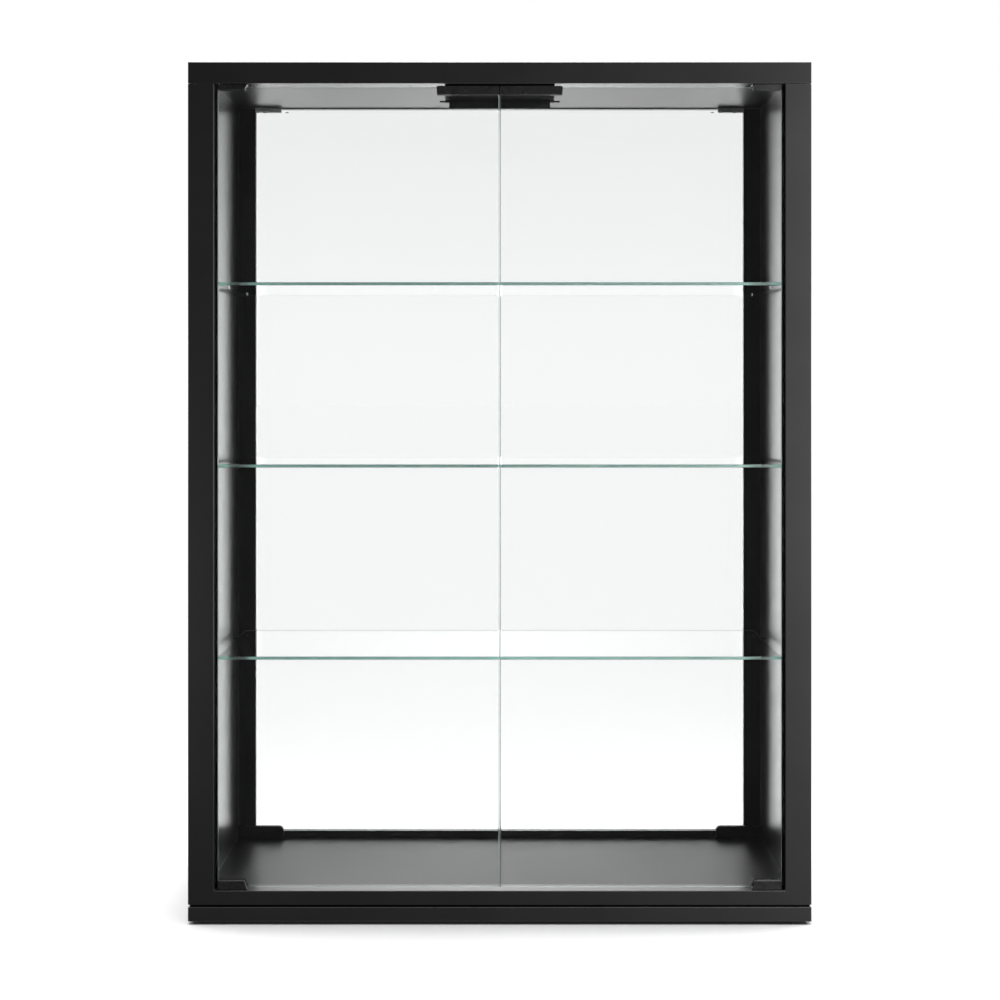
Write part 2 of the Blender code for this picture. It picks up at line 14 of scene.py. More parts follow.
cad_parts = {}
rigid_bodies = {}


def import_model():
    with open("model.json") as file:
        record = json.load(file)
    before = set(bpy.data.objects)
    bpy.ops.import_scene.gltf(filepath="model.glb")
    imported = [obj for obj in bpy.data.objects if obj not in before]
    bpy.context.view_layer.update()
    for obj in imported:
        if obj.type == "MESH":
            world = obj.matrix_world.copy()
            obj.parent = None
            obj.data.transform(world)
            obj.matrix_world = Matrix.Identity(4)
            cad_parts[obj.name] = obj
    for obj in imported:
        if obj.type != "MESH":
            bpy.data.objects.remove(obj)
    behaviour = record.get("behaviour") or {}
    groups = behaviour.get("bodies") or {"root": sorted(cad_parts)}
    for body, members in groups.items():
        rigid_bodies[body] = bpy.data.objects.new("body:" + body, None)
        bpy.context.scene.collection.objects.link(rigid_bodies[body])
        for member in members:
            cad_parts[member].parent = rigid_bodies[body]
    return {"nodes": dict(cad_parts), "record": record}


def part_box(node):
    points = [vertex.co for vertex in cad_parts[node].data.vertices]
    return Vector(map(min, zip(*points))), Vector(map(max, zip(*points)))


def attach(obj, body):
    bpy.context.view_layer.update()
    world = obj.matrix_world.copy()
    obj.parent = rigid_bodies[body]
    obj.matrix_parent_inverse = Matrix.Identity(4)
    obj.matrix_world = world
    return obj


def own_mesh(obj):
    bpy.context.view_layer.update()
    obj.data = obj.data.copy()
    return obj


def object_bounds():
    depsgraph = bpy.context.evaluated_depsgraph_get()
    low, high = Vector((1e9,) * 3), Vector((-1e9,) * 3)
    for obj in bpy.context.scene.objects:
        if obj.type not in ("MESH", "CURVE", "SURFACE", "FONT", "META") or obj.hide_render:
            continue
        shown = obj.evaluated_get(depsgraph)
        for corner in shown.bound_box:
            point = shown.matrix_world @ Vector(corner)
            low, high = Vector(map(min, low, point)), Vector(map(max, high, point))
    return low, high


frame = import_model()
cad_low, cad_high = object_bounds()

SCENE = bpy.context.scene
SIDES = {"left": -1, "right": 1}
LEVELS = ("bottom", "top")
SHELVES = ("lower_shelf", "middle_shelf", "upper_shelf")
MM = 0.001

# Roughness of the lacquer, for the boards that aren't as smooth as the rest.
SATIN = {
    "base_plate": 0.36,
    "bottom_panel": 0.4,
    "front_frame": 0.3,
    "top_panel": 0.36,
    "left_side_panel": 0.3,
    "right_side_panel": 0.3,
}
SMOOTH_SATIN = 0.26
# Specular level of the lacquer: the floor inside is duller than the other boards.
BOARD_SPECULAR = 0.5
FLOOR_SPECULAR = 0.35

# Glass: absorption for each metre, colour of the ground edges, share they scatter.
SHELF_GLASS = (6.5, (0.75, 0.92, 0.87), 0.3)
PANE_GLASS = (3.0, (0.36, 0.43, 0.41), 0.5)
GLASS_GREEN = (0.08, 0.55, 0.46, 1.0)

# Where the camera stands, and what it sees.
CAMERA_DISTANCE = 1.683
CAMERA_HEIGHT = 0.5139
CAMERA_LENS = 62.97
CAMERA_SENSOR = 36.0
CAMERA_SHIFT = (0.0003, -0.1094)

# How bright the world is, to rays straight from the camera and to scattered rays.
BACKDROP_LIGHT = 1.09
BACKDROP_TOP_LIGHT = 1.0
AMBIENT_LIGHT = 0.15

# How bright it is to mirrored rays: in front of the case, beside it and overhead, and
# behind it by height (low, level, high) and by how far sideways (centre, outer, side).
FRONT_GLOSS_LIGHT = 0.06
SIDE_GLOSS_LIGHT = 0.4
OVERHEAD_GLOSS_LIGHT = 0.5
LEVEL_GLOSS_LIGHT = 1.15
LOW_CENTRE_GLOSS_LIGHT = 2.4
LOW_OUTER_GLOSS_LIGHT = 1.0
HIGH_CENTRE_GLOSS_LIGHT = 3.7
HIGH_OUTER_GLOSS_LIGHT = 1.8
LOW_SIDE_GLOSS_LIGHT = 4.4
HIGH_SIDE_GLOSS_LIGHT = 1.3

# Where one brightness gives way to the next, as parts of a ray's unit direction.
BACKDROP_FADE = (0.0, 0.17)
FRONT_TO_BESIDE = (-0.95, -0.55)
BESIDE_TO_BEHIND = (0.4, 0.8)
CENTRE_TO_OUTER = (0.0, 0.14)
OUTER_TO_SIDE = (0.13, 0.17)
SIDE_TO_FAR_SIDE = (0.3, 0.42)
LOW_TO_LEVEL = (-0.15, -0.09)
LEVEL_TO_HIGH = (0.17, 0.26)
LOW_TO_HIGH = (0.0, 0.24)
HIGH_TO_OVERHEAD = (0.45, 0.9)

# The floor stops short of the camera, and only the camera sees its front strip.
FLOOR_FRONT = -0.34
FLOOR_REACH = 60.0

# Ray depths are whole numbers, so this parts none from one or more.
ANY_BOUNCE = 0.5


# ---------------------------------------------------------------- material kit
class Finish:
    """A Principled material that is built up node by node."""

    def __init__(self, name, colour, roughness, metallic=0.0):
        self.material = bpy.data.materials.new(name)
        self.material.use_nodes = True
        self.tree = self.material.node_tree
        self.shader = self.tree.nodes["Principled BSDF"]
        self.output = self.tree.nodes["Material Output"]
        self.set("Base Color", (*colour, 1.0))
        self.set("Roughness", roughness)
        self.set("Metallic", metallic)
        self.material.diffuse_color = (*colour, 1.0)
        self.place = self.node("ShaderNodeTexCoord").outputs["Object"]

    def set(self, socket, value):
        self.shader.inputs[socket].default_value = value

    def node(self, kind, values=(), **settings):
        """A node with its attributes set, and its inputs given by name or number."""
        return add_node(self.tree, kind, values, **settings)

    def math(self, operation, *values):
        numbered = dict(enumerate(values))
        return self.node("ShaderNodeMath", numbered, operation=operation).outputs[0]

    def noise(self, scale, detail=2.0, roughness=0.5, stretch=None):
        """Noise over the object; stretch scales the axes to draw it out."""
        place = self.place
        if stretch:
            mapping = self.node("ShaderNodeMapping", {"Vector": place, "Scale": stretch})
            place = mapping.outputs[0]
        values = {"Vector": place, "Scale": scale, "Detail": detail, "Roughness": roughness}
        return self.node("ShaderNodeTexNoise", values).outputs["Fac"]

    def cells(self, scale, feature="F1"):
        values = {"Vector": self.place, "Scale": scale}
        return self.node("ShaderNodeTexVoronoi", values, feature=feature).outputs["Distance"]

    def spread(self, value, old, new):
        """The value's range old (low, high), moved smoothly to the range new."""
        values = {
            "Value": value,
            "From Min": old[0],
            "From Max": old[1],
            "To Min": new[0],
            "To Max": new[1],
        }
        made = self.node("ShaderNodeMapRange", values, interpolation_type="SMOOTHSTEP")
        return made.outputs["Result"]

    def mix(self, factor, first, second):
        """A colour between two colours."""
        made = self.node("ShaderNodeMix", {"Factor": factor}, data_type="RGBA")
        ends = [socket for socket in made.inputs if socket.type == "RGBA"]
        for socket, value in zip(ends, (first, second)):
            if isinstance(value, bpy.types.NodeSocket):
                self.tree.links.new(value, socket)
            else:
                socket.default_value = (*value, 1.0)
        return [socket for socket in made.outputs if socket.type == "RGBA"][0]

    def drive(self, socket, value):
        self.tree.links.new(value, self.shader.inputs[socket])

    def bump(self, height, distance, strength):
        """Height 0 to 1 becomes a relief of that many metres."""
        values = {"Height": height, "Distance": distance, "Strength": strength}
        self.drive("Normal", self.node("ShaderNodeBump", values).outputs["Normal"])


def add_node(tree, kind, values=(), **settings):
    """Adds a node to a tree; values go to its inputs, as links or as constants."""
    made = tree.nodes.new(kind)
    for key, value in settings.items():
        setattr(made, key, value)
    for socket, value in dict(values).items():
        if isinstance(value, bpy.types.NodeSocket):
            tree.links.new(value, made.inputs[socket])
        else:
            made.inputs[socket].default_value = value
    return made


def edge_distance(finish, low, high):
    """How far a point is from the nearest of a board's long edges, in metres."""
    centre = (Vector(low) + Vector(high)) / 2
    half = (Vector(high) - Vector(low)) / 2
    parts = finish.node("ShaderNodeSeparateXYZ", {"Vector": finish.place}).outputs
    depths = []
    for axis in range(3):
        offset = finish.math("ABSOLUTE", finish.math("SUBTRACT", parts[axis], centre[axis]))
        depths.append(finish.math("SUBTRACT", half[axis], offset))
    # On a face one depth is zero, so the middle one of the three is the edge distance.
    least = finish.math("MINIMUM", finish.math("MINIMUM", depths[0], depths[1]), depths[2])
    most = finish.math("MAXIMUM", finish.math("MAXIMUM", depths[0], depths[1]), depths[2])
    total = finish.math("ADD", finish.math("ADD", depths[0], depths[1]), depths[2])
    return finish.math("SUBTRACT", finish.math("SUBTRACT", total, least), most)


# ---------------------------------------------------------------- finishes
# Noise stays mostly inside this range; spread() moves it to 0..1 or to a roughness.
NOISE = (0.3, 0.7)
FULL = (0.0, 1.0)


def lacquer(name, low, high, specular, satin):
    """Satin black lacquer: fine orange peel, faint rub marks, and edges a little lighter grey, partly
    as wear and partly as a painted edge highlight.

    low and high are the board's corners, specular its specular level, satin its roughness.
    """
    made = Finish("lacquer_" + name, (0.016, 0.016, 0.017), satin)
    made.set("IOR", 1.5)
    made.set("Specular IOR Level", specular)
    # Lighter grey within 1.3 mm of every edge: partly wear, partly a painted edge highlight.
    edge_wear_and_highlight = made.spread(edge_distance(made, low, high), old=(0.0, 1.3 * MM), new=(1.0, 0.0))
    scuff = made.spread(made.noise(120.0, 3.0, 0.7), old=(0.4, 0.75), new=(0.3, 0.6))
    edge = made.math("MULTIPLY", edge_wear_and_highlight, scuff)
    tone = made.spread(made.noise(9.0, 4.0, 0.6), NOISE, FULL)
    base = made.mix(tone, (0.0145, 0.0145, 0.015), (0.0175, 0.0175, 0.018))
    # The edge grey mixed in here is partly wear and partly a painted edge highlight.
    made.drive("Base Color", made.mix(edge, base, (0.024, 0.024, 0.025)))
    rub = made.spread(made.noise(5.0), old=(0.2, 0.8), new=(satin - 0.01, satin + 0.01))
    made.drive("Roughness", made.math("ADD", rub, made.math("MULTIPLY", edge, 0.1)))
    made.bump(made.noise(300.0), 0.003 * MM, 0.4)
    return made.material


def glass(name, flat_axis, density, edge_tint, edge_haze):
    """Clear float glass, green through its depth, with ground edges.

    flat_axis is 0, 1 or 2: the axis across the pane. edge_tint is the colour of the ground
    edges, and edge_haze the share of the light that they scatter.
    """
    made = Finish("glass_" + name, (1.0, 1.0, 1.0), 0.0)
    made.set("IOR", 1.5)
    made.set("Transmission Weight", 1.0)
    normal = made.node("ShaderNodeTexCoord").outputs["Normal"]
    across = made.node("ShaderNodeSeparateXYZ", {"Vector": normal}).outputs[flat_axis]
    # Faces whose normal is turned away from the axis across the pane are its edges.
    edge = made.math("LESS_THAN", made.math("ABSOLUTE", across), 0.9)
    made.drive("Base Color", made.mix(edge, (1.0, 1.0, 1.0), edge_tint))
    made.drive("Transmission Weight", made.spread(edge, FULL, new=(1.0, 1.0 - edge_haze)))
    grinding = made.spread(made.noise(900.0), NOISE, new=(0.10, 0.20))
    smudge = made.spread(made.noise(14.0, 4.0, 0.6), old=(0.62, 0.8), new=(0.0, 0.02))
    made.drive("Roughness", made.math("ADD", made.math("MULTIPLY", edge, grinding), smudge))
    made.bump(made.math("MULTIPLY", edge, made.noise(1400.0)), 0.01 * MM, 0.5)
    values = {"Color": GLASS_GREEN, "Density": density}
    depth = made.node("ShaderNodeVolumeAbsorption", values)
    made.tree.links.new(depth.outputs["Volume"], made.output.inputs["Volume"])
    return made.material


def matt_black():
    """Black flocked edging: dull, with a fine short nap. Its near-black colour paints the shade in
    the gap between each door and its stile.
    """
    made = Finish("matt_black", (0.003, 0.003, 0.003), 0.95)
    made.set("Specular IOR Level", 0.03)
    nap = made.noise(2600.0, 2.0, 0.7)
    shade = made.spread(nap, NOISE, FULL)
    # Near-black on purpose: painted shade for the gap beside each stile.
    made.drive("Base Color", made.mix(shade, (0.0015, 0.0015, 0.0015), (0.0045, 0.0045, 0.0045)))
    made.bump(nap, 0.12 * MM, 0.8)
    return made.material


def black_metal():
    """Black powder coat on steel: a tight pebbled skin with a few rubbed spots."""
    made = Finish("black_metal", (0.014, 0.014, 0.015), 0.36)
    made.set("IOR", 1.5)
    rubbed = made.spread(made.noise(220.0, 4.0, 0.65), old=(0.55, 0.75), new=FULL)
    made.drive("Base Color", made.mix(rubbed, (0.010, 0.010, 0.011), (0.030, 0.030, 0.031)))
    made.drive("Roughness", made.spread(made.noise(300.0, 3.0), NOISE, new=(0.27, 0.42)))
    made.bump(made.cells(1500.0, "SMOOTH_F1"), 0.05 * MM, 0.6)
    return made.material


def black_plastic():
    """Moulded black plastic with a fine spark-eroded grain."""
    made = Finish("black_plastic", (0.013, 0.013, 0.014), 0.6)
    made.set("Specular IOR Level", 0.15)
    grain = made.noise(1800.0, 3.0, 0.65)
    flow = made.spread(made.noise(70.0, 3.0, 0.5, stretch=(1.0, 3.0, 3.0)), NOISE, FULL)
    made.drive("Base Color", made.mix(flow, (0.010, 0.010, 0.011), (0.017, 0.017, 0.018)))
    made.drive("Roughness", made.spread(grain, NOISE, new=(0.55, 0.68)))
    made.bump(grain, 0.02 * MM, 0.5)
    return made.material


def rubber():
    """Black rubber with a chalky bloom and small pores."""
    made = Finish("rubber", (0.012, 0.012, 0.012), 0.8)
    made.set("Specular IOR Level", 0.35)
    bloom = made.spread(made.noise(240.0, 4.0, 0.7), old=(0.4, 0.75), new=FULL)
    made.drive("Base Color", made.mix(bloom, (0.009, 0.009, 0.009), (0.026, 0.026, 0.025)))
    made.drive("Roughness", made.spread(bloom, FULL, new=(0.68, 0.88)))
    made.bump(made.cells(1900.0), 0.05 * MM, 0.5)
    return made.material


def clear_plastic():
    """Clear moulded plastic, faintly wavy, that bends and mirrors light only a little."""
    made = Finish("clear_plastic", (0.97, 0.98, 0.98), 0.06)
    made.set("IOR", 1.15)
    made.set("Specular IOR Level", 0.1)
    made.set("Transmission Weight", 1.0)
    wave = made.noise(330.0)
    made.drive("Roughness", made.spread(wave, NOISE, new=(0.04, 0.08)))
    made.bump(wave, 0.06 * MM, 0.4)
    return made.material


def nylon():
    """Natural nylon, cream white, waxy."""
    made = Finish("nylon", (0.60, 0.59, 0.54), 0.45)
    made.set("Subsurface Weight", 0.15)
    made.set("Subsurface Scale", 2 * MM)
    cloud = made.spread(made.noise(400.0, 3.0), NOISE, FULL)
    made.drive("Base Color", made.mix(cloud, (0.52, 0.51, 0.46), (0.66, 0.65, 0.60)))
    made.drive("Roughness", made.spread(cloud, FULL, new=(0.38, 0.52)))
    made.bump(made.noise(2200.0), 0.02 * MM, 0.4)
    return made.material


def bright_steel(name, stretch):
    """Bright drawn or turned steel, with fine lines along the stretch."""
    made = Finish("steel_" + name, (0.58, 0.58, 0.57), 0.25, metallic=1.0)
    lines = made.noise(500.0, 3.0, 0.6, stretch=stretch)
    shade = made.spread(lines, NOISE, FULL)
    made.drive("Base Color", made.mix(shade, (0.46, 0.46, 0.45), (0.66, 0.66, 0.65)))
    made.drive("Roughness", made.spread(lines, NOISE, new=(0.18, 0.36)))
    made.bump(lines, 0.02 * MM, 0.4)
    return made.material


def black_screw():
    """Black oxide on steel, worn bright where the driver bites."""
    made = Finish("black_screw", (0.03, 0.03, 0.032), 0.34, metallic=0.9)
    rub = made.spread(made.noise(700.0, 4.0, 0.7), old=(0.52, 0.72), new=FULL)
    made.drive("Base Color", made.mix(rub, (0.022, 0.022, 0.024), (0.13, 0.13, 0.13)))
    made.drive("Roughness", made.spread(rub, FULL, new=(0.42, 0.26)))
    made.bump(made.noise(1500.0), 0.03 * MM, 0.5)
    return made.material


def zinc_plate():
    """Dull zinc plating, pale grey with faint clouding."""
    made = Finish("zinc_plate", (0.42, 0.42, 0.43), 0.55, metallic=0.2)
    cloud = made.spread(made.noise(180.0, 4.0, 0.6), NOISE, FULL)
    made.drive("Base Color", made.mix(cloud, (0.36, 0.36, 0.37), (0.48, 0.48, 0.48)))
    made.drive("Roughness", made.spread(cloud, FULL, new=(0.48, 0.62)))
    made.bump(made.noise(900.0), 0.01 * MM, 0.4)
    return made.material


def liner_vinyl():
    """Dark vinyl, the liner between glass and metal."""
    made = Finish("soft_grey", (0.02, 0.02, 0.02), 0.5)
    tone = made.spread(made.noise(500.0, 3.0), NOISE, FULL)
    made.drive("Base Color", made.mix(tone, (0.012, 0.012, 0.012), (0.03, 0.031, 0.031)))
    made.drive("Roughness", made.spread(tone, FULL, new=(0.42, 0.6)))
    made.bump(made.noise(1700.0), 0.03 * MM, 0.4)
    return made.material


# ---------------------------------------------------------------- dressing the CAD nodes
FINISHES = {
    "matt_black": matt_black(),
    "black_metal": black_metal(),
    "black_plastic": black_plastic(),
    "rubber": rubber(),
    "clear_plastic": clear_plastic(),
    "nylon": nylon(),
    "spring_steel": bright_steel("spring", (1.0, 1.0, 1.0)),
    "zinc_plate": zinc_plate(),
}
BLACK_SCREW = black_screw()
LINER_VINYL = liner_vinyl()
MAGNET_STEEL = bright_steel("magnet", (1.0, 0.1, 1.0))


def dress_cad_nodes():
    """Gives every CAD node the finish of its slot; boards and panes get one each."""
    for part in frame["record"]["subparts"]:
        node, slot = part["node"], part["material_slot"]
        if slot == "black_lacquer":
            specular = FLOOR_SPECULAR if node == "bottom_panel" else BOARD_SPECULAR
            satin = SATIN.get(node, SMOOTH_SATIN)
            material = lacquer(node, *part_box(node), specular, satin)
        elif node in SHELVES:
            material = glass(node, 2, *SHELF_GLASS)
        elif slot == "clear_glass":
            material = glass(node, 1, *PANE_GLASS)
        else:
            material = FINISHES[slot]
        obj = frame["nodes"][node]
        obj.data.materials.clear()
        obj.data.materials.append(material)


# ---------------------------------------------------------------- small fittings
def mesh_piece(name, bm, material, body):
    """Turns finished mesh data into a piece that rides on a body."""
    mesh = bpy.data.meshes.new(name)
    bmesh.ops.recalc_face_normals(bm, faces=bm.faces)
    bm.to_mesh(mesh)
    bm.free()
    mesh.materials.append(material)
    obj = bpy.data.objects.new(name, mesh)
    SCENE.collection.objects.link(obj)
    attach(obj, body)
    return obj


def rounded_block(name, low, high, radius, material, slot, body):
    """A small block with rounded edges between two corners."""
    bm = bmesh.new()
    bmesh.ops.create_cube(bm, size=1.0)
    low, high = Vector(low), Vector(high)
    bmesh.ops.scale(bm, vec=high - low, verts=bm.verts)
    bmesh.ops.translate(bm, vec=(low + high) / 2, verts=bm.verts)
    bmesh.ops.bevel(
        bm, geom=list(bm.edges), offset=radius, segments=3, profile=0.5, affect="EDGES"
    )
    return mesh_piece(name, bm, material, body)


def round_outline(angle, size):
    """Radius of a round ring, the same at every angle."""
    return size


def cross_outline(angle, size):
    """Radius of a rounded cross recess at an angle."""
    waist = 0.36
    arm = abs(math.cos(2 * angle)) ** 1.5
    return size * (waist + (1 - waist) * arm)


def hex_outline(angle, size):
    """Radius of a hexagonal recess at an angle; size is the radius to its corners."""
    sixth = math.pi / 3
    return size * math.cos(sixth / 2) / math.cos((angle % sixth) - sixth / 2)


# A screw head's profile as shares of its radius and rise, and each drive's recess as an
# outline and a share of the head's radius.
HEAD_STEPS = 48
HEAD_PROFILE = ((1.0, 0.0), (1.0, 0.45), (0.93, 0.8), (0.8, 1.0))
HEAD_SHARP_ANGLE = 35
RECESSES = {"cross": (cross_outline, 0.62), "hex": (hex_outline, 0.52)}
RECESS_TAPER = 0.9
RECESS_FLOOR = 0.2


def screw_head(name, place, facing, radius, rise, drive, body):
    """A screw head with its drive recess; its flat back lies at place."""
    outline, share = RECESSES[drive]
    recess = radius * share
    rings = [(round_outline, radius * out, rise * up) for out, up in HEAD_PROFILE]
    rings.append((outline, recess, rise))
    rings.append((outline, recess * RECESS_TAPER, rise * RECESS_FLOOR))
    bm = bmesh.new()
    loops = []
    for shape, size, height in rings:
        loop = []
        for step in range(HEAD_STEPS):
            angle = 2 * math.pi * step / HEAD_STEPS
            r = shape(angle, size)
            loop.append(bm.verts.new((r * math.cos(angle), r * math.sin(angle), height)))
        loops.append(loop)
    for lower, upper in zip(loops, loops[1:]):
        for step in range(HEAD_STEPS):
            after = (step + 1) % HEAD_STEPS
            bm.faces.new((lower[step], lower[after], upper[after], upper[step]))
    bm.faces.new(loops[-1])
    bm.faces.new(list(reversed(loops[0])))
    turn = Vector(facing).to_track_quat("Z", "Y").to_matrix().to_4x4()
    bmesh.ops.transform(bm, matrix=Matrix.Translation(Vector(place)) @ turn, verts=bm.verts)
    obj = mesh_piece(name, bm, BLACK_SCREW, body)
    obj.data.shade_smooth()
    obj.data.set_sharp_from_angle(angle=math.radians(HEAD_SHARP_ANGLE))


def outward_ends(side, low, high):
    """A box's inner and outer end, as distances from the middle of the case."""
    ends = sorted(SIDES[side] * x for x in (low.x, high.x))
    return ends[0], ends[1]


def clamp_details(side, level):
    """Liners between the glass and the clamp, and two set screws on its inner wall."""
    sign, body = SIDES[side], f"{side}_door"
    low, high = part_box(f"{side}_{level}_clamp")
    glass_low, glass_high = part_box(f"{side}_door_glass")
    inward = 1 if level == "bottom" else -1
    mouth = high.z if level == "bottom" else low.z
    glass_end = glass_low.z if level == "bottom" else glass_high.z
    inner, outer = outward_ends(side, low, high)

    gap, thickness, ease = 0.15 * MM, 1.0 * MM, 0.15 * MM
    proud, inner_inset, outer_inset = 0.35 * MM, 5.0 * MM, 0.6 * MM
    xs = sorted((sign * (inner + inner_inset), sign * (outer - outer_inset)))
    zs = sorted((glass_end, mouth + inward * proud))
    for face, y, away in (("front", glass_low.y, -1), ("rear", glass_high.y, 1)):
        ys = sorted((y + away * gap, y + away * (gap + thickness)))
        name = f"{side}_{level}_liner_{face}"
        corners = ((xs[0], ys[0], zs[0]), (xs[1], ys[1], zs[1]))
        rounded_block(name, *corners, ease, LINER_VINYL, "black_plastic", body)

    largest, height_share, rise, sunk = 1.5 * MM, 0.4, 0.35 * MM, 0.05 * MM
    radius = min(largest, abs(mouth - glass_end) * height_share)
    for number, share in enumerate((0.3, 0.72), 1):
        x = sign * (inner + share * (outer - inner))
        place = (x, high.y - sunk, (mouth + glass_end) / 2)
        name = f"{side}_{level}_set_screw_{number}"
        screw_head(name, place, (0, 1, 0), radius, rise, "hex", body)


def corner_screws(side):
    """The screws of the rear corner block and of the rear top plate."""
    sign, sunk = SIDES[side], 0.1 * MM
    low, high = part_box(f"{side}_corner_block")
    y, outer = (low.y + high.y) / 2, outward_ends(side, low, high)[1]
    for number, inset in enumerate((9 * MM, 22 * MM), 1):
        place = (sign * (outer - inset), y, high.z - sunk)
        name = f"{side}_block_screw_{number}"
        screw_head(name, place, (0, 0, 1), 2.3 * MM, 0.5 * MM, "cross", "cabinet")
    low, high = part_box(f"{side}_top_plate")
    outer = outward_ends(side, low, high)[1]
    for number, inset in enumerate((10 * MM, 34 * MM), 1):
        place = (sign * (outer - inset), y, low.z + sunk)
        name = f"{side}_plate_screw_{number}"
        screw_head(name, place, (0, 0, -1), 2.0 * MM, 0.4 * MM, "cross", "cabinet")


def joint_beads(side):
    """Fine beads of lacquer where a side panel meets the floor and the ceiling inside."""
    sign = SIDES[side]
    wall = outward_ends(side, *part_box(f"{side}_side_panel"))[0]
    gap, width, buried, ease = 0.2 * MM, 0.7 * MM, 0.2 * MM, 0.3 * MM
    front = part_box("front_frame")[1].y + gap
    places = {
        "floor": (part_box("bottom_panel")[1].z, 1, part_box(f"{side}_corner_block")[0].y),
        "ceiling": (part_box("top_panel")[0].z, -1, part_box(f"{side}_top_plate")[0].y),
    }
    xs = sorted((sign * (wall + buried), sign * (wall - width + buried)))
    for joint, (level, up, rear) in places.items():
        name = f"{side}_{joint}_bead"
        zs = sorted((level - up * buried, level + up * (width - buried)))
        low, high = (xs[0], front, zs[0]), (xs[1], rear - gap, zs[1])
        material = lacquer(name, low, high, BOARD_SPECULAR, SMOOTH_SATIN)
        rounded_block(name, low, high, ease, material, "black_lacquer", "cabinet")


def latch_details():
    """Cover screws, and the magnet face on each plunger's nose."""
    screw_x, screw_y, cover_underside, screw_sunk = 30 * MM, -68 * MM, 796.2 * MM, 0.05 * MM
    front_radius, rear_radius, thickness = 1.9 * MM, 2.1 * MM, 0.3 * MM
    sunk, ease, rim_angle = 0.02 * MM, 0.08 * MM, 1.0
    for side, sign in SIDES.items():
        place = (sign * screw_x, screw_y, cover_underside + screw_sunk)
        screw_head(f"latch_screw_{side}", place, (0, 0, -1), 2.8 * MM, 0.7 * MM, "cross", "cabinet")
        nose_low, nose_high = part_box(f"{side}_plunger")
        centre = (nose_low + nose_high) / 2
        bm = bmesh.new()
        bmesh.ops.create_cone(
            bm,
            cap_ends=True,
            segments=32,
            radius1=rear_radius,
            radius2=front_radius,
            depth=thickness,
        )
        turn = Vector((0, -1, 0)).to_track_quat("Z", "Y").to_matrix().to_4x4()
        shift = Matrix.Translation((centre.x, nose_low.y + sunk, centre.z))
        bmesh.ops.transform(bm, matrix=shift @ turn, verts=bm.verts)
        rim = [e for e in bm.edges if len(e.link_faces) == 2 and e.calc_face_angle() > rim_angle]
        bmesh.ops.bevel(bm, geom=rim, offset=ease, segments=2, profile=0.5, affect="EDGES")
        mesh_piece(f"{side}_magnet", bm, MAGNET_STEEL, f"{side}_plunger")


def squash_springs():
    """Gives each spring its own copy of its mesh."""
    for side in SIDES:
        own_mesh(frame["nodes"][f"{side}_spring"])


def base_screws():
    """Countersunk screws that hold the base board, seen from below."""
    inset, sunk = 30 * MM, 0.1 * MM
    low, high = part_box("base_plate")
    for row, y in (("front", low.y + inset), ("rear", high.y - inset)):
        for column, x in (("left", -200 * MM), ("middle", 0.0), ("right", 200 * MM)):
            name, place = f"base_screw_{row}_{column}", (x, y, low.z + sunk)
            screw_head(name, place, (0, 0, -1), 3.8 * MM, 0.5 * MM, "cross", "cabinet")


# ---------------------------------------------------------------- studio
def world():
    """White all round to look at; what the gloss sees is dimmer in front of the doors."""
    made = bpy.data.worlds.new("studio")
    made.use_nodes = True
    tree = made.node_tree
    tree.nodes.clear()

    def node(kind, values=(), **settings):
        return add_node(tree, kind, values, **settings)

    def blend(factor, first, second):
        """first where the factor is 0, second where it is 1."""
        values = {"Factor": factor, 2: first, 3: second}
        return node("ShaderNodeMix", values, data_type="FLOAT").outputs[0]

    def ramp(value, limits):
        values = {"Value": value, "From Min": limits[0], "From Max": limits[1]}
        return node("ShaderNodeMapRange", values, interpolation_type="SMOOTHSTEP").outputs[0]

    def bounced(depth):
        values = {0: depth, 1: ANY_BOUNCE}
        return node("ShaderNodeMath", values, operation="GREATER_THAN").outputs[0]

    direction = node("ShaderNodeTexCoord").outputs["Generated"]
    x, y, z = node("ShaderNodeSeparateXYZ", {"Vector": direction}).outputs
    sideways = node("ShaderNodeMath", {0: x}, operation="ABSOLUTE").outputs[0]

    outer = ramp(sideways, CENTRE_TO_OUTER)
    high = ramp(z, LOW_TO_HIGH)
    low_gloss = blend(outer, LOW_CENTRE_GLOSS_LIGHT, LOW_OUTER_GLOSS_LIGHT)
    high_gloss = blend(outer, HIGH_CENTRE_GLOSS_LIGHT, HIGH_OUTER_GLOSS_LIGHT)
    near_side = blend(high, LOW_SIDE_GLOSS_LIGHT, HIGH_SIDE_GLOSS_LIGHT)
    side = blend(ramp(sideways, SIDE_TO_FAR_SIDE), near_side, LEVEL_GLOSS_LIGHT)
    # The shelves mirror the band at eye level, the ceiling and the floor what is beyond it.
    below = blend(ramp(z, LOW_TO_LEVEL), low_gloss, LEVEL_GLOSS_LIGHT)
    centre = blend(ramp(z, LEVEL_TO_HIGH), below, high_gloss)
    behind = blend(ramp(sideways, OUTER_TO_SIDE), centre, side)
    front = blend(ramp(y, FRONT_TO_BESIDE), FRONT_GLOSS_LIGHT, SIDE_GLOSS_LIGHT)
    gloss = blend(ramp(y, BESIDE_TO_BEHIND), front, behind)
    gloss = blend(ramp(z, HIGH_TO_OVERHEAD), gloss, OVERHEAD_GLOSS_LIGHT)

    backdrop = blend(ramp(z, BACKDROP_FADE), BACKDROP_LIGHT, BACKDROP_TOP_LIGHT)
    rays = node("ShaderNodeLightPath").outputs
    seen = blend(bounced(rays["Glossy Depth"]), backdrop, gloss)
    strength = blend(bounced(rays["Diffuse Depth"]), seen, AMBIENT_LIGHT)
    values = {"Color": (1.0, 1.0, 1.0, 1.0), "Strength": strength}
    background = node("ShaderNodeBackground", values)
    node("ShaderNodeOutputWorld", {"Surface": background.outputs[0]})
    made.cycles.sampling_method = "NONE"
    SCENE.world = made


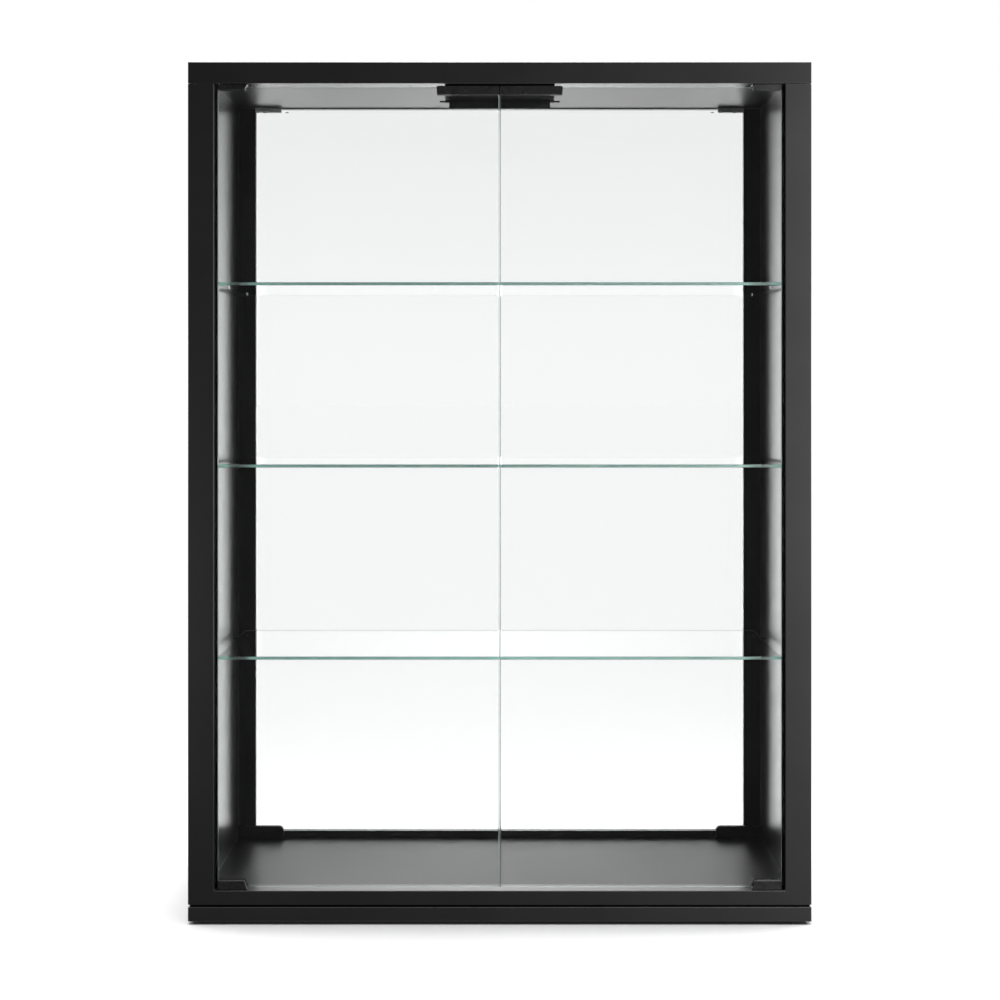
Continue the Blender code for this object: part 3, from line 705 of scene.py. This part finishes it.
def light(name, kind, place, target, energy, size=None, angle=None):
    """A lamp aimed at a target; size is an area lamp's, angle a sun's in degrees."""
    data = bpy.data.lights.new(name, kind)
    data.energy = energy
    if size:
        data.shape = "RECTANGLE"
        data.size, data.size_y = size
    if angle:
        data.angle = math.radians(angle)
    obj = bpy.data.objects.new(name, data)
    obj.location = place
    obj.rotation_euler = (Vector(target) - Vector(place)).to_track_quat("-Z", "Y").to_euler()
    SCENE.collection.objects.link(obj)
    return obj


def off_the_floor(lamp):
    """Keeps a lamp's light on the case and off the floor."""
    lit = bpy.data.collections.new(lamp.name + "_lights")
    for obj in SCENE.objects:
        if obj.name.startswith("floor_") and obj.type == "MESH":
            lit.objects.link(obj)
    for entry in lit.collection_objects:
        entry.light_linking.link_state = "EXCLUDE"
    lamp.light_linking.receiver_collection = lit


def lights():
    """Soft light from above, the floor's white, and a key and a fill on the doors."""
    light("overhead", "SUN", place=(0, 0, 3.0), target=(0, 0, 0), energy=3.3, angle=13)
    for name, sign, energy in (("floor_left", -1, 1.5), ("floor_right", 1, 2.5)):
        place, target = (sign * 0.78, 0.05, 0.5), (sign * 0.3, 0.0, 0.0)
        light(name, "AREA", place, target, energy, size=(0.3, 0.3))
    key = light(
        "key", "AREA", place=(0.62, -0.44, 0.5), target=(0.0, -0.11, 0.45), energy=13.0,
        size=(0.25, 1.0),
    )
    fill = light(
        "fill", "AREA", place=(-1.0, -1.5, 0.12), target=(-0.1, -0.11, 0.2), energy=2.0,
        size=(0.5, 0.4),
    )
    off_the_floor(key)
    off_the_floor(fill)


def floor():
    """A plain pale floor. Mirrored rays pass through it to the world's gloss light, and
    only the camera sees its strip in front of the case."""
    made = Finish("floor_paper", (0.9, 0.9, 0.9), 0.9)
    made.set("Specular IOR Level", 0.0)
    fibre = made.spread(made.noise(350.0, 3.0), NOISE, FULL)
    made.drive("Base Color", made.mix(fibre, (0.895, 0.895, 0.895), (0.905, 0.905, 0.905)))
    clear = made.node("ShaderNodeBsdfTransparent")
    glossy_depth = made.node("ShaderNodeLightPath").outputs["Glossy Depth"]
    mirrored = made.math("GREATER_THAN", glossy_depth, ANY_BOUNCE)
    surface = made.node("ShaderNodeMixShader", {0: mirrored, 1: made.shader.outputs[0]})
    made.tree.links.new(clear.outputs[0], surface.inputs[2])
    made.tree.links.new(surface.outputs[0], made.output.inputs["Surface"])
    for name, near, far in (
        ("floor_front", FLOOR_FRONT, cad_low.y),
        ("floor_behind", cad_low.y, FLOOR_REACH),
    ):
        bm = bmesh.new()
        corners = [(-FLOOR_REACH, near), (FLOOR_REACH, near), (FLOOR_REACH, far), (-FLOOR_REACH, far)]
        bm.faces.new([bm.verts.new((x, y, 0.0)) for x, y in corners])
        mesh = bpy.data.meshes.new(name)
        bm.to_mesh(mesh)
        bm.free()
        mesh.materials.append(made.material)
        obj = bpy.data.objects.new(name, mesh)
        SCENE.collection.objects.link(obj)
        obj.visible_diffuse = name == "floor_behind"
        obj.visible_transmission = name == "floor_behind"


def camera():
    """A level camera straight in front of the doors."""
    data = bpy.data.cameras.new("camera")
    data.lens = CAMERA_LENS
    data.sensor_width = CAMERA_SENSOR
    data.shift_x, data.shift_y = CAMERA_SHIFT
    obj = bpy.data.objects.new("camera", data)
    obj.location = (0.0, cad_low.y - CAMERA_DISTANCE, CAMERA_HEIGHT)
    obj.rotation_euler = (math.radians(90), 0.0, 0.0)
    SCENE.collection.objects.link(obj)
    SCENE.camera = obj


camera()
dress_cad_nodes()
for side_name in SIDES:
    for level_name in LEVELS:
        clamp_details(side_name, level_name)
    corner_screws(side_name)
    joint_beads(side_name)
latch_details()
squash_springs()
base_screws()
world()
floor()
lights()
SCENE.view_settings.view_transform = "Standard"
SCENE.view_settings.look = "None"
SCENE.cycles.use_denoising = True
SCENE.cycles.glossy_bounces = 12
SCENE.cycles.max_bounces = 20
